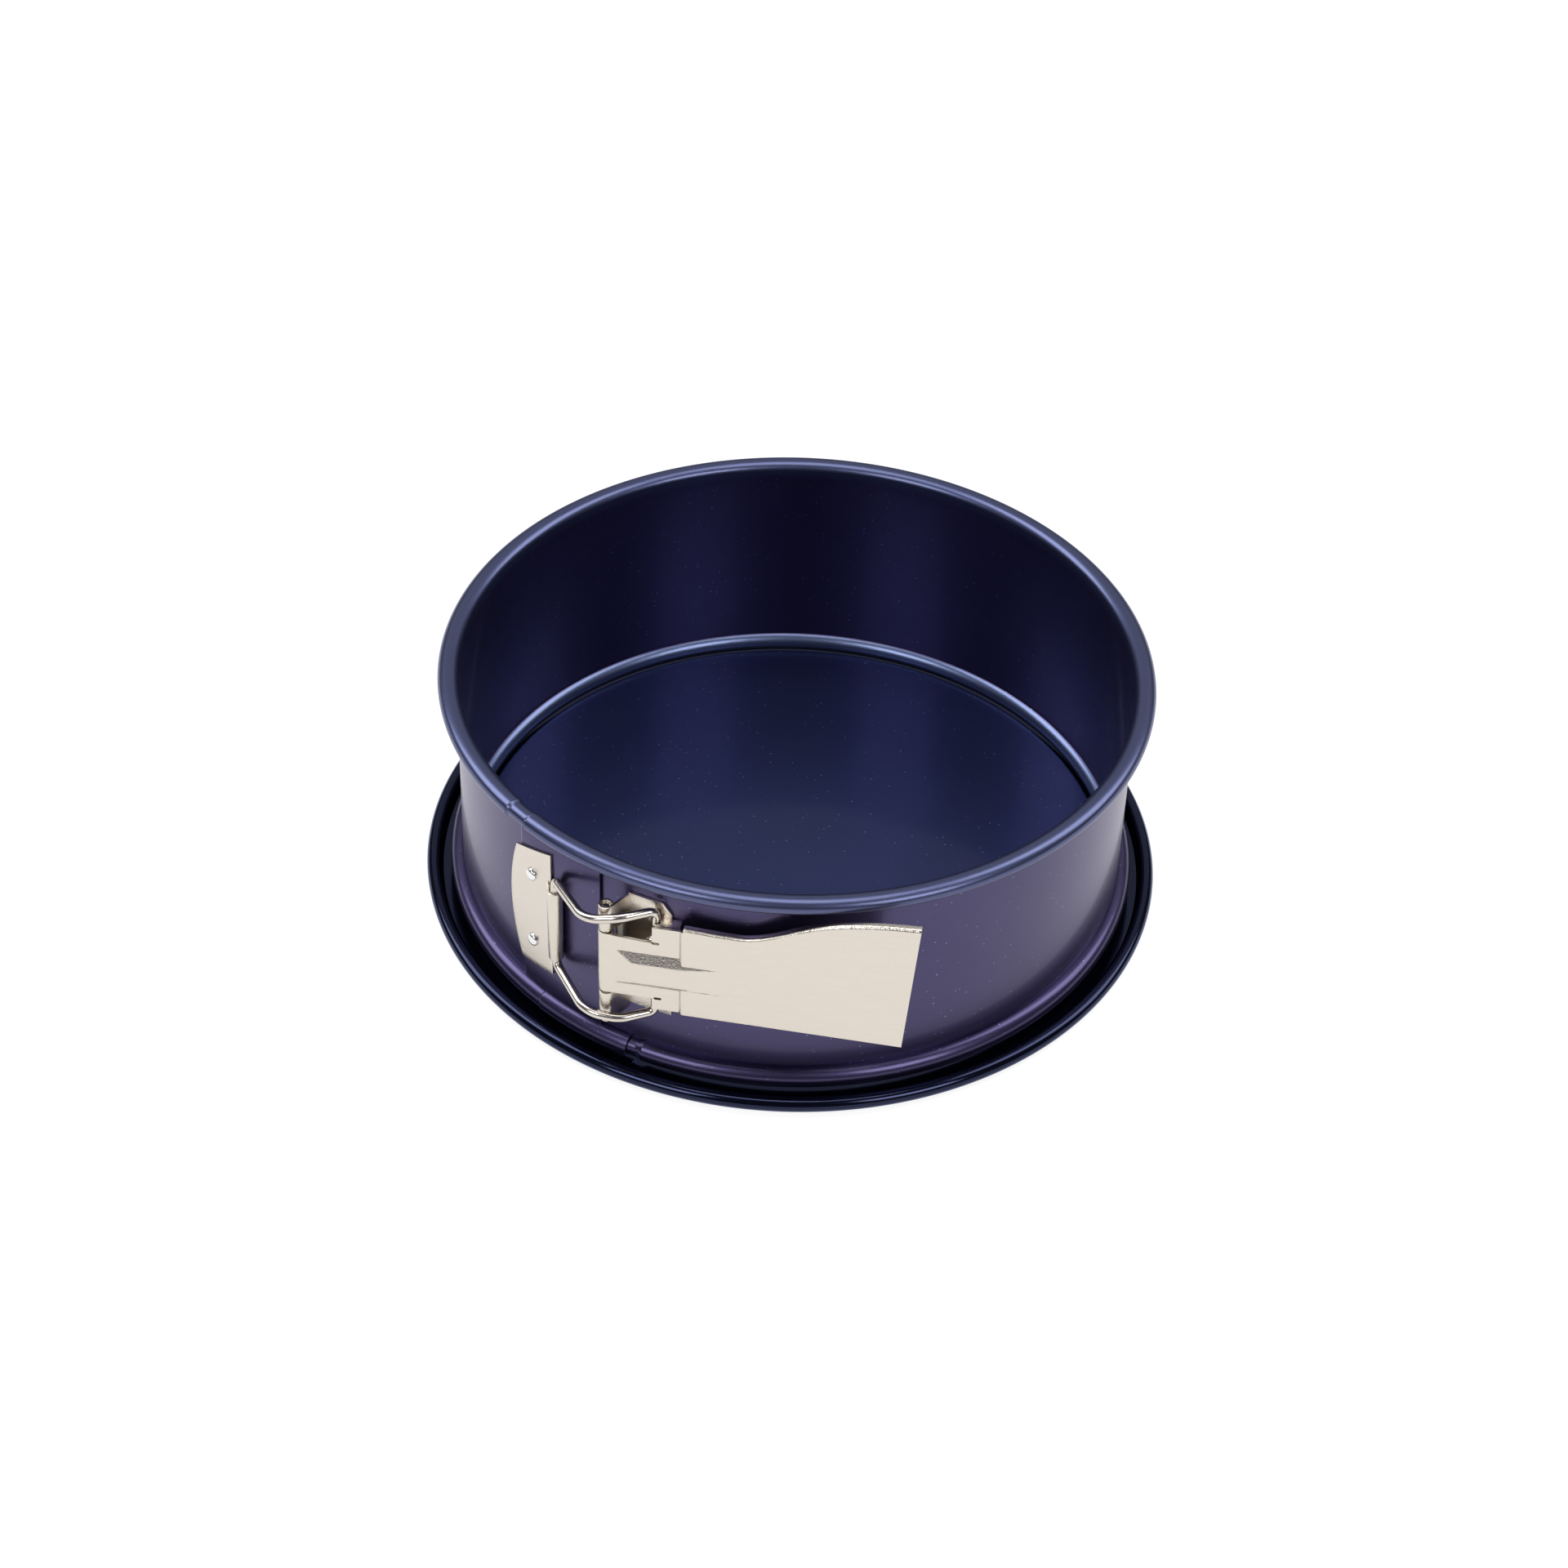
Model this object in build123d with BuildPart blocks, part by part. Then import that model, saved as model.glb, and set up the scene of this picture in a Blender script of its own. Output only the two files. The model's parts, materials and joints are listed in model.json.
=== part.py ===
from build123d import *
from math import acos, cos, degrees, radians, sin, sqrt
import os

# Springform pan: a stamped tray base and a springy band that an over-centre latch closes.
# Millimetres, +Z up, origin on the band's axis where the tray stands on the table.
# An azimuth is counted in degrees from the front (-Y), positive towards +X.

# Band
inner_radius = 90.0
band_sheet = 0.6
rim_height = 67.2  # middle of the rolled rim above the table
rim_half_height = 2.3  # the roll is an oval
rim_half_width = 2.8
hem_height = 5.7  # middle of the rolled hem
hem_roll_radius = 3.05
hem_outset = 0.95  # middle of the hem outside the inner radius
lap_clearance = 0.3  # between the two band ends where they lap

# Tray base
tray_sheet = 0.6
plateau_height = 4.6
hem_clearance = 0.4  # between the hem and the plateau's riser
channel_reach = 6.7  # from the hem's outside to the rolled edge's outside
tray_roll_radius = 2.0
tray_roll_height = 2.9

# Places round the band
opening_azimuth = 150.0  # middle of the springy bend, where the two halves meet
joggle_azimuth = -48.7  # where the outer end steps out over the inner end
joggle_turn = 0.5
rim_joint_azimuth = -45.2
inner_end_azimuth = -43.8
outer_end_azimuth = -31.6
hem_joint_azimuth = -25.9
joint_gap = 0.3

# Sheets and fits of the latch
latch_sheet = 0.8
fitting_sheet = 0.7  # keeper and hinge bracket
fitting_gap = 0.05  # keeper and bracket lie on the band, free of its curve
pin_radius = 1.2
running_clearance = 0.05
side_clearance = 0.3

# Hinge pin and barrel
pin_azimuth = -28.2
ear_clearance = 0.415  # between the end of the lever's ears and the band, which sets the pin's distance
barrel_bottom = 19.8
barrel_top = 58.8
pin_head_radius = 1.7
pin_head_height = 0.8
pin_recess = 0.5

# Lever, in lengths along it from the pin and heights above the table
lever_angle = 9.0  # turned outwards from the X axis
lever_bottom = 26.6
wrap_bottom = 30.2
wrap_top = 49.4
ear_start = 12.2
ear_end = 19.4
ear_top = 54.6
ear_depth = 2.9  # flange behind the ear's face
joggle_lap = 0.8
neck_top = 55.3
waist_at = 33.0
waist_top = 54.8
swell_at = 48.5
swell_top = 59.6
tip_length = 79.8
tip_top = 66.2
tip_slant = 3.1
edge_flange = 1.2
rib_start = 3.0
rib_end = 29.0
rib_bottom = 33.0
rib_top = 46.6
rib_root = 0.4
rib_height = 1.2
rib_slope = 40.0
relief_length = 2.2
relief_width = 0.8

# Bail, bent from round wire
wire_radius = 1.2
leg_bottom = 24.4
leg_top = 53.6
arm_bottom = 23.1
arm_top = 57.9
shoulder_far = -4.8  # shoulders, along the lever from the pin
shoulder_near = 4.2
shoulder_out = 3.8  # and outwards from the pin
end_along = 12.6
end_inset = 0.9
end_reach = 0.8  # past the ear's flange
arm_spread = 0.5  # arms widen from the leg to the shoulder, as a share of the whole widening
wire_bends = [2.0, 8.0, 8.0, 2.2, 2.2, 8.0, 8.0, 2.0]
slot_clearance = 0.3
slot_travel = [(0, 0), (-2.5, -0.95), (-4.3, -0.1), (-2.6, 0.9)]  # of the wire's end in the ear

# Keeper
leg_azimuth = -39.7
curl_clearance = 0.07
curl_bottom = 27.1
curl_top = 49.8
fold_azimuth = -42.1
keeper_azimuth = -46.5  # middle of its plate
keeper_edge_azimuth = -41.4
keeper_width = 8.2  # from the middle to the bowed edge
keeper_top_right = 59.2
keeper_top_left = 54.8
keeper_left_corner = 5.0
keeper_bottom_right = 17.6
keeper_bottom_left = 16.6
keeper_left_foot = 3.4
keeper_bow_height = 37.5

# Hinge bracket, its places along the band as lengths from the pin
bracket_start = 3.0
bracket_end = 15.0
bracket_bottom = 21.4
bracket_top = 59.3
bracket_chamfer = 3.6

# Rivets
head_radius = 1.7
head_height = 1.1
shank_radius = 1.0
tail_radius = 1.4
tail_height = 0.4
keeper_rivet_azimuth = -45.9
keeper_rivet_low = 25.6
keeper_rivet_high = 48.4
bracket_rivet_place = 9.5  # along the band from the pin
bracket_rivet_low = 34.0
bracket_rivet_high = 45.0

# Worked out from the sizes above
band_outer = inner_radius + band_sheet
lap_inner = band_outer + lap_clearance
lap_outer = lap_inner + band_sheet
rim_middle = inner_radius + rim_half_width
rim_bottom = rim_height - rim_half_height
hem_middle = inner_radius + hem_outset
hem_top = hem_height + hem_roll_radius
riser_outer = hem_middle - hem_roll_radius - hem_clearance
riser_inner = riser_outer - tray_sheet
tray_radius = hem_middle + hem_roll_radius + channel_reach
tray_roll_middle = tray_radius - tray_roll_radius
tray_wall_inner = tray_roll_middle - tray_roll_radius
keeper_inner = lap_outer + fitting_gap
keeper_outer = keeper_inner + fitting_sheet
bracket_inner = band_outer + fitting_gap
bracket_outer = bracket_inner + fitting_sheet
curl_inner = wire_radius + curl_clearance
curl_outer = curl_inner + fitting_sheet
leg_distance = keeper_inner + curl_outer
bore_radius = pin_radius + running_clearance
wrap_radius = bore_radius + latch_sheet
knuckle_radius = bore_radius + fitting_sheet
bracket_left_azimuth = pin_azimuth + degrees(bracket_start / band_outer)
bracket_right_azimuth = pin_azimuth + degrees(bracket_end / band_outer)
bracket_rivet_azimuth = pin_azimuth + degrees(bracket_rivet_place / band_outer)
lower_knuckle_top = wrap_bottom - side_clearance
upper_knuckle_bottom = wrap_top + side_clearance


def at(azimuth, distance, height=0.0):
    """Point at an azimuth, a distance from the band's axis and a height."""
    return Vector(distance * sin(radians(azimuth)), -distance * cos(radians(azimuth)), height)


def section_plane(azimuth):
    """Upright plane through the band's axis, x outwards and y up."""
    outwards = at(azimuth, 1.0)
    return Plane(origin=(0, 0, 0), x_dir=outwards, z_dir=(outwards.Y, -outwards.X, 0))


def facing_plane(azimuth, distance):
    """Upright plane that faces outwards, x along the band and y up."""
    outwards = at(azimuth, 1.0)
    return Plane(origin=outwards * distance, x_dir=(-outwards.Y, outwards.X, 0), z_dir=outwards)


along = Vector(cos(radians(lever_angle)), -sin(radians(lever_angle)), 0)
outward = Vector(-sin(radians(lever_angle)), -cos(radians(lever_angle)), 0)
ear_reach = along * ear_end - outward * (ear_depth - bore_radius)  # from the pin to the ear's far corner
ear_lead = at(pin_azimuth, 1.0).dot(ear_reach)
ear_distance = band_outer + ear_clearance
pin_distance = sqrt(ear_distance ** 2 - ear_reach.length ** 2 + ear_lead ** 2) - ear_lead
pin_place = at(pin_azimuth, pin_distance)
leg_place = at(leg_azimuth, leg_distance)


def on_lever(length, out, height=0.0):
    """Point given along the lever from the pin, outwards from the pin, and by height."""
    return pin_place + along * length + outward * out + Vector(0, 0, height)


def lever_face(out):
    """Plane of the lever, x along it and y up, at a distance outwards from the pin."""
    return Plane(origin=on_lever(0, out), x_dir=along, z_dir=outward)


def lever_floor(height):
    """Level plane at a height, x along the lever and y towards the band."""
    return Plane(origin=pin_place + Vector(0, 0, height), x_dir=along, z_dir=(0, 0, 1))


def wall(inner, outer, start, end, bottom, top):
    """Stretch of upright sheet between two azimuths."""
    with BuildPart() as stretch:
        with BuildSketch(section_plane(start)):
            with Locations(((inner + outer) / 2, (bottom + top) / 2)):
                Rectangle(outer - inner, top - bottom)
        revolve(axis=Axis.Z, revolution_arc=end - start)
    return stretch.part


def rim(start, end):
    """Rolled rim: over the top, round the outside and in underneath."""
    with BuildPart() as stretch:
        with BuildSketch(section_plane(start)):
            with Locations((rim_middle, rim_height)):
                Ellipse(rim_half_width, rim_half_height)
                Ellipse(rim_half_width - band_sheet, rim_half_height - band_sheet, mode=Mode.SUBTRACT)
            with Locations((inner_radius + band_sheet, rim_height)):
                Rectangle(rim_half_width - band_sheet, rim_half_height,
                          align=(Align.MIN, Align.MAX), mode=Mode.SUBTRACT)
        revolve(axis=Axis.Z, revolution_arc=end - start)
    return stretch.part


def hem(start, end):
    """Rolled hem: out from the wall, round underneath and up on the inside."""
    with BuildPart() as stretch:
        with BuildSketch(section_plane(start)):
            with Locations((hem_middle, hem_height)):
                Circle(hem_roll_radius)
                Circle(hem_roll_radius - band_sheet, mode=Mode.SUBTRACT)
            with Locations((inner_radius, hem_top)):
                Rectangle(hem_outset, hem_outset, align=(Align.MAX, Align.MAX), mode=Mode.SUBTRACT)
        revolve(axis=Axis.Z, revolution_arc=end - start)
    return stretch.part


def rivet(azimuth, height, inner, outer):
    """Round-headed rivet that holds a fitting to the band."""
    tail = inner - fitting_gap
    with BuildPart() as fastener:
        with BuildSketch(section_plane(azimuth)):
            with BuildLine():
                Polyline((outer + head_height, height), (tail - tail_height, height),
                         (tail - tail_height, height + tail_radius), (tail, height + tail_radius),
                         (tail, height + shank_radius), (outer, height + shank_radius),
                         (outer, height + head_radius))
                EllipticalCenterArc((outer, height), head_height, head_radius, start_angle=0, arc_size=90)
            make_face()
        revolve(axis=Axis(at(azimuth, 1.0, height), at(azimuth, 1.0)))
    return fastener.part


def rivet_hole(azimuth, height):
    """Round of metal to take out of the band and its fitting for a rivet's shank."""
    with BuildPart() as hole:
        with BuildSketch(section_plane(azimuth)):
            with Locations((inner_radius - band_sheet, height)):
                Rectangle(keeper_outer - inner_radius + 2 * band_sheet, shank_radius,
                          align=(Align.MIN, Align.MIN))
        revolve(axis=Axis(at(azimuth, 1.0, height), at(azimuth, 1.0)))
    return hole.part


# Tray base: plateau, riser, channel floor and rolled edge
with BuildPart() as base_plate:
    with BuildSketch(Plane.XZ):
        with Locations((0, plateau_height - tray_sheet)):
            Rectangle(riser_outer, tray_sheet, align=(Align.MIN, Align.MIN))
        with Locations((riser_inner, 0)):
            Rectangle(tray_sheet, plateau_height, align=(Align.MIN, Align.MIN))
            Rectangle(tray_wall_inner + tray_sheet - riser_inner, tray_sheet, align=(Align.MIN, Align.MIN))
        with Locations((tray_roll_middle, tray_roll_height)):
            Circle(tray_roll_radius)
            Circle(tray_roll_radius - tray_sheet, mode=Mode.SUBTRACT)
        with Locations((tray_wall_inner + tray_sheet, tray_roll_height)):
            Rectangle(tray_roll_radius - tray_sheet, tray_roll_radius,
                      align=(Align.MIN, Align.MAX), mode=Mode.SUBTRACT)
        with Locations((tray_wall_inner, 0)):
            Rectangle(tray_sheet, tray_roll_height, align=(Align.MIN, Align.MIN))
    revolve(axis=Axis.Z)
base_plate.part.label = "base_plate"

# Half of the band with the inner end, which runs on under the outer end
with BuildPart() as band_right:
    add(wall(inner_radius, band_outer, inner_end_azimuth, hem_joint_azimuth,
             hem_top + lap_clearance, rim_height))
    add(wall(inner_radius, band_outer, hem_joint_azimuth, opening_azimuth, hem_height + hem_roll_radius / 2,
             rim_height))
    add(rim(rim_joint_azimuth, opening_azimuth))
    add(hem(hem_joint_azimuth, opening_azimuth))
    for height in (bracket_rivet_low, bracket_rivet_high):
        add(rivet_hole(bracket_rivet_azimuth, height), mode=Mode.SUBTRACT)
band_right.part.label = "band_right"

# Half of the band with the outer end, stepped out by a joggle
left_start = opening_azimuth - 360
rim_joint_turn = degrees(joint_gap / rim_middle)
hem_joint_turn = degrees(joint_gap / hem_middle)
lap_top = rim_bottom - lap_clearance
with BuildPart() as band_left:
    add(wall(inner_radius, band_outer, left_start, joggle_azimuth, hem_height + hem_roll_radius / 2,
             rim_height))
    add(wall(inner_radius, lap_outer, joggle_azimuth - joggle_turn, joggle_azimuth, hem_top, lap_top))
    add(wall(lap_inner, lap_outer, joggle_azimuth - joggle_turn, outer_end_azimuth,
             hem_height + hem_roll_radius / 2, lap_top))
    add(rim(left_start, rim_joint_azimuth - rim_joint_turn))
    add(hem(left_start, hem_joint_azimuth - hem_joint_turn))
    for height in (keeper_rivet_low, keeper_rivet_high):
        add(rivet_hole(keeper_rivet_azimuth, height), mode=Mode.SUBTRACT)
band_left.part.label = "band_left"

# Keeper: riveted plate whose edge curls round the bail's leg
keeper_edge = keeper_inner * sin(radians(keeper_edge_azimuth - keeper_azimuth))
with BuildPart() as keeper_plate:
    add(wall(keeper_inner, keeper_outer, keeper_azimuth - 2 * degrees(keeper_width / keeper_inner),
             leg_azimuth, keeper_bottom_left, keeper_top_right))
    with BuildSketch(facing_plane(keeper_azimuth, keeper_inner - keeper_width)):
        with BuildLine():
            Polyline((-keeper_left_corner, keeper_top_left), (keeper_edge, keeper_top_right),
                     (keeper_edge, keeper_bottom_right), (-keeper_left_foot, keeper_bottom_left))
            ThreePointArc((-keeper_left_foot, keeper_bottom_left), (-keeper_width, keeper_bow_height),
                          (-keeper_left_corner, keeper_top_left))
        make_face()
    extrude(amount=2 * keeper_width, mode=Mode.INTERSECT)
    add(wall(keeper_inner, keeper_outer, keeper_edge_azimuth - joggle_turn, leg_azimuth,
             curl_bottom, curl_top))
    with BuildSketch(Plane.XY.offset(curl_bottom)):
        with Locations(leg_place):
            Circle(curl_outer)
        with Locations(at(fold_azimuth, keeper_inner + fitting_sheet / 2)):
            Circle(fitting_sheet / 2)
        make_hull()
    extrude(amount=curl_top - curl_bottom)
    with BuildSketch(Plane.XY.offset(curl_bottom)):
        with Locations(leg_place):
            Circle(curl_inner)
    extrude(amount=curl_top - curl_bottom, mode=Mode.SUBTRACT)
    for height in (keeper_rivet_low, keeper_rivet_high):
        add(rivet_hole(keeper_rivet_azimuth, height), mode=Mode.SUBTRACT)
keeper_plate.part.label = "keeper_plate"

# Bail: one wire from ear to ear, its long leg in the keeper's curl
shoulder_top = leg_top + arm_spread * (arm_top - leg_top)
shoulder_bottom = leg_bottom - arm_spread * (leg_bottom - arm_bottom)
upper_end = ear_top - latch_sheet - end_reach
lower_end = lever_bottom + latch_sheet + end_reach
bail_route = [
    on_lever(end_along, -end_inset, upper_end),
    on_lever(end_along, -end_inset, arm_top),
    on_lever(shoulder_near, shoulder_out, arm_top),
    on_lever(shoulder_far, shoulder_out, shoulder_top),
    leg_place + Vector(0, 0, leg_top),
    leg_place + Vector(0, 0, leg_bottom),
    on_lever(shoulder_far, shoulder_out, shoulder_bottom),
    on_lever(shoulder_near, shoulder_out, arm_bottom),
    on_lever(end_along, -end_inset, arm_bottom),
    on_lever(end_along, -end_inset, lower_end),
]
with BuildPart() as bail:
    with BuildLine():
        FilletPolyline(*bail_route, radius=wire_bends)
    with BuildSketch(Plane(origin=bail_route[0], z_dir=(0, 0, 1))):
        Circle(wire_radius)
    sweep()
bail.part.label = "bail"

# Hinge bracket: plate on the band, and a web to each knuckle of the barrel
web_root = at(bracket_left_azimuth, bracket_inner + fitting_sheet / 2)
web_span = web_root - pin_place
knuckle_middle = knuckle_radius - fitting_sheet / 2
web_tangent = web_span.normalized().rotate(Axis.Z, -degrees(acos(knuckle_middle / web_span.length)))
web_tip = pin_place + web_tangent * knuckle_middle
web_side = (web_tip - web_root).normalized().rotate(Axis.Z, 90) * (fitting_sheet / 2)


def knuckle(bottom, top):
    """Knuckle and the web that carries it."""
    with BuildPart() as carried:
        with BuildSketch(Plane.XY.offset(bottom)):
            with Locations(pin_place):
                Circle(knuckle_radius)
            with BuildLine():
                Polyline(web_root + web_side, web_tip + web_side, web_tip - web_side, web_root - web_side,
                         close=True)
            make_face()
            with Locations(web_root):
                Circle(fitting_sheet / 2)
            with Locations(pin_place):
                Circle(bore_radius, mode=Mode.SUBTRACT)
        extrude(amount=top - bottom)
    return carried.part


with BuildPart() as hinge_bracket:
    add(wall(bracket_inner, bracket_outer, bracket_left_azimuth, bracket_right_azimuth,
             bracket_bottom, bracket_top))
    with BuildSketch(facing_plane(bracket_right_azimuth, bracket_inner - bracket_chamfer)):
        with BuildLine():
            Polyline((0, bracket_top - bracket_chamfer), (0, bracket_top), (-bracket_chamfer, bracket_top),
                     close=True)
        make_face()
    extrude(amount=2 * bracket_chamfer, mode=Mode.SUBTRACT)
    add(knuckle(barrel_bottom, lower_knuckle_top))
    add(knuckle(upper_knuckle_bottom, barrel_top))
    for height in (bracket_rivet_low, bracket_rivet_high):
        add(rivet_hole(bracket_rivet_azimuth, height), mode=Mode.SUBTRACT)
hinge_bracket.part.label = "hinge_bracket"

# Hinge pin, headed below the barrel
with BuildPart() as hinge_pin:
    with BuildSketch(Plane(origin=pin_place + Vector(0, 0, barrel_bottom))):
        Circle(pin_radius)
    extrude(amount=barrel_top - pin_recess - barrel_bottom)
    with BuildSketch(Plane(origin=pin_place + Vector(0, 0, barrel_bottom))):
        Circle(pin_head_radius)
    extrude(amount=-pin_head_height)
    fillet(hinge_pin.edges().group_by(Axis.Z)[0], pin_head_height / 2)
hinge_pin.part.label = "hinge_pin"

# Lever: wrap, eared plate, stepped-out handle with a flanged top edge, and a rib
top_line = [(ear_end - joggle_lap, neck_top), (waist_at, waist_top), (swell_at, swell_top),
            (tip_length, tip_top)]
with BuildPart() as lever:
    with BuildSketch(lever_face(bore_radius)):
        with Locations((0, wrap_bottom)):
            Rectangle(ear_end, wrap_top - wrap_bottom, align=(Align.MIN, Align.MIN))
        with Locations((ear_start, lever_bottom)):
            Rectangle(ear_end - ear_start, ear_top - lever_bottom, align=(Align.MIN, Align.MIN))
        with Locations((ear_start, wrap_top), (ear_start, wrap_bottom)):
            SlotCenterToCenter(2 * relief_length, relief_width, mode=Mode.SUBTRACT)
    extrude(amount=latch_sheet)
    with BuildSketch(lever_face(wrap_radius)):
        with BuildLine():
            Spline(*top_line, tangents=((1, -0.1), (1, 0)))
            Polyline(top_line[-1], (tip_length - tip_slant, lever_bottom),
                     (top_line[0][0], lever_bottom), top_line[0])
        make_face()
    extrude(amount=latch_sheet)
    with BuildSketch(lever_face(wrap_radius - edge_flange)):
        with BuildLine():
            Spline(*top_line, tangents=((1, -0.1), (1, 0)))
            Line(top_line[-1], (top_line[-1][0], top_line[-1][1] - latch_sheet))
            Spline(*[(x, y - latch_sheet) for x, y in top_line], tangents=((1, -0.1), (1, 0)))
            Line(top_line[0], (top_line[0][0], top_line[0][1] - latch_sheet))
        make_face()
    extrude(amount=edge_flange + latch_sheet)
    with BuildSketch(lever_floor(wrap_bottom)):
        Circle(wrap_radius)
    extrude(amount=wrap_top - wrap_bottom)
    with BuildSketch(lever_floor(wrap_bottom)):
        Circle(bore_radius)
    extrude(amount=wrap_top - wrap_bottom, mode=Mode.SUBTRACT)
    with BuildSketch(lever_face(wrap_radius - rib_root)):
        with BuildLine():
            Polyline((rib_start, rib_bottom), (rib_end, (rib_bottom + rib_top) / 2), (rib_start, rib_top),
                     close=True)
        make_face()
    extrude(amount=rib_root + rib_height, taper=rib_slope)
    for height in (lever_bottom, ear_top - latch_sheet):
        with BuildSketch(lever_floor(height)):
            with Locations(((ear_start + ear_end) / 2, -bore_radius)):
                Rectangle(ear_end - ear_start, ear_depth, align=(Align.CENTER, Align.MIN))
        extrude(amount=latch_sheet)
        with BuildSketch(lever_floor(height)):
            with Locations(*[(end_along + shift, end_inset - out) for shift, out in slot_travel]):
                Circle(wire_radius + slot_clearance)
            make_hull()
        extrude(amount=latch_sheet, mode=Mode.SUBTRACT)
lever.part.label = "lever"

# Rivets
keeper_rivet_upper = rivet(keeper_rivet_azimuth, keeper_rivet_high, lap_inner, keeper_outer)
keeper_rivet_upper.label = "keeper_rivet_upper"
keeper_rivet_lower = rivet(keeper_rivet_azimuth, keeper_rivet_low, lap_inner, keeper_outer)
keeper_rivet_lower.label = "keeper_rivet_lower"
bracket_rivet_upper = rivet(bracket_rivet_azimuth, bracket_rivet_high, inner_radius, bracket_outer)
bracket_rivet_upper.label = "bracket_rivet_upper"
bracket_rivet_lower = rivet(bracket_rivet_azimuth, bracket_rivet_low, inner_radius, bracket_outer)
bracket_rivet_lower.label = "bracket_rivet_lower"

os.makedirs("parts", exist_ok=True)
export_step(base_plate.part, "parts/base_plate.step")
export_step(band_right.part, "parts/band_right.step")
export_step(band_left.part, "parts/band_left.step")
export_step(keeper_plate.part, "parts/keeper_plate.step")
export_step(keeper_rivet_upper, "parts/keeper_rivet_upper.step")
export_step(keeper_rivet_lower, "parts/keeper_rivet_lower.step")
export_step(bail.part, "parts/bail.step")
export_step(hinge_bracket.part, "parts/hinge_bracket.step")
export_step(bracket_rivet_upper, "parts/bracket_rivet_upper.step")
export_step(bracket_rivet_lower, "parts/bracket_rivet_lower.step")
export_step(hinge_pin.part, "parts/hinge_pin.step")
export_step(lever.part, "parts/lever.step")
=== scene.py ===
import json
import math

import bpy
from mathutils import Matrix, Vector


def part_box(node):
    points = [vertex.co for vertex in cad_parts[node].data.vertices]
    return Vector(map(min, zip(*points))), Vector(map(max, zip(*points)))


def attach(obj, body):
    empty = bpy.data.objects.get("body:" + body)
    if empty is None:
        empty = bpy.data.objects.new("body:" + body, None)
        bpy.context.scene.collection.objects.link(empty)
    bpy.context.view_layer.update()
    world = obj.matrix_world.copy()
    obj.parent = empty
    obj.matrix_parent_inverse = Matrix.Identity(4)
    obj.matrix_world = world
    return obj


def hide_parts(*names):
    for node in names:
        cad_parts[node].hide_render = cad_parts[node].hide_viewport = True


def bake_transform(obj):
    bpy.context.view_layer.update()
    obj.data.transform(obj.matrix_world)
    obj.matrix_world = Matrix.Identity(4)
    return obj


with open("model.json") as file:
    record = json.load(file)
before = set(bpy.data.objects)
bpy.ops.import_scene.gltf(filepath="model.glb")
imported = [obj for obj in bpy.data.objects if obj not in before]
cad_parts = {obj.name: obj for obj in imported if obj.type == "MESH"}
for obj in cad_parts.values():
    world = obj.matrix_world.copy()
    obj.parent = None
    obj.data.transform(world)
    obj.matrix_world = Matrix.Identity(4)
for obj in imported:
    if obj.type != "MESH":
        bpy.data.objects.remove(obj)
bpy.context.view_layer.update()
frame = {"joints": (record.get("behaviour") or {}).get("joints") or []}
print("frame loaded")

mm = 0.001  # pieces are modelled in millimetres and scaled to metres once finished

camera = {
    "place": (-2.6, -741.1, 661.4),
    "target": (-2.5, 0.0, 26.7),
    "lens": 81.8,
    "sensor": 36.0,
    "roll": 2.02,  # degrees about its own axis
}


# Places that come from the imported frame, in millimetres
def jointPlace(name):
    joint = [j for j in frame["joints"] if j["name"] == name][0]
    return Vector(joint["pos_m"]) / mm


def boxOf(node):
    low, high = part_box(node)
    return low / mm, high / mm


def azimuthAndRadius(x, y):
    return math.degrees(math.atan2(x, -y)), math.hypot(x, y)


pinPlace = jointPlace("lever_swing")
legPlace = jointPlace("bail_swing")
trayHigh = boxOf("base_plate")[1]
rimTop = boxOf("band_right")[1].z


def onBand(azimuth, radius, height=0.0):
    turn = math.radians(azimuth)
    return Vector((radius * math.sin(turn), -radius * math.cos(turn), height))


def ease(value):
    value = min(max(value, 0.0), 1.0)
    return value * value * (3 - 2 * value)


# Small tools for working as by hand
def clearSelection():
    if bpy.context.object and bpy.context.object.mode != "OBJECT":
        bpy.ops.object.mode_set(mode="OBJECT")
    bpy.ops.object.select_all(action="DESELECT")


def makeActive(piece):
    clearSelection()
    piece.select_set(True)
    bpy.context.view_layer.objects.active = piece


def editAll(piece):
    makeActive(piece)
    bpy.ops.object.mode_set(mode="EDIT")
    bpy.ops.mesh.select_mode(type="VERT")
    bpy.ops.mesh.select_all(action="SELECT")


def editOnly(piece, test, mode="VERT"):
    # vertices, or faces, whose place passes the test
    makeActive(piece)
    bpy.ops.object.mode_set(mode="EDIT")
    bpy.ops.mesh.select_mode(type=mode)
    bpy.ops.mesh.select_all(action="DESELECT")
    bpy.ops.object.mode_set(mode="OBJECT")
    chosen = piece.data.vertices if mode == "VERT" else piece.data.polygons
    for item in chosen:
        item.select = test(item.co if mode == "VERT" else item.center)
    bpy.ops.object.mode_set(mode="EDIT")


def leaveEdit():
    bpy.ops.object.mode_set(mode="OBJECT")
    return bpy.context.object


def modify(piece, kind, **settings):
    makeActive(piece)
    modifier = piece.modifiers.new(kind.title(), kind)
    for name, value in settings.items():
        setattr(modifier, name, value)
    bpy.ops.object.modifier_apply(modifier=modifier.name)


def chain(name, points):
    # edges from point to point, extruded one by one from a single vertex
    clearSelection()
    bpy.ops.mesh.primitive_plane_add(size=1)
    piece = bpy.context.object
    piece.name = name
    editAll(piece)
    bpy.ops.mesh.merge(type="CENTER")
    places = [Vector(point) for point in points]
    bpy.ops.transform.translate(value=places[0])
    for before, after in zip(places, places[1:]):
        bpy.ops.mesh.extrude_region_move(TRANSFORM_OT_translate={"value": after - before})
    return leaveEdit()


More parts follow.
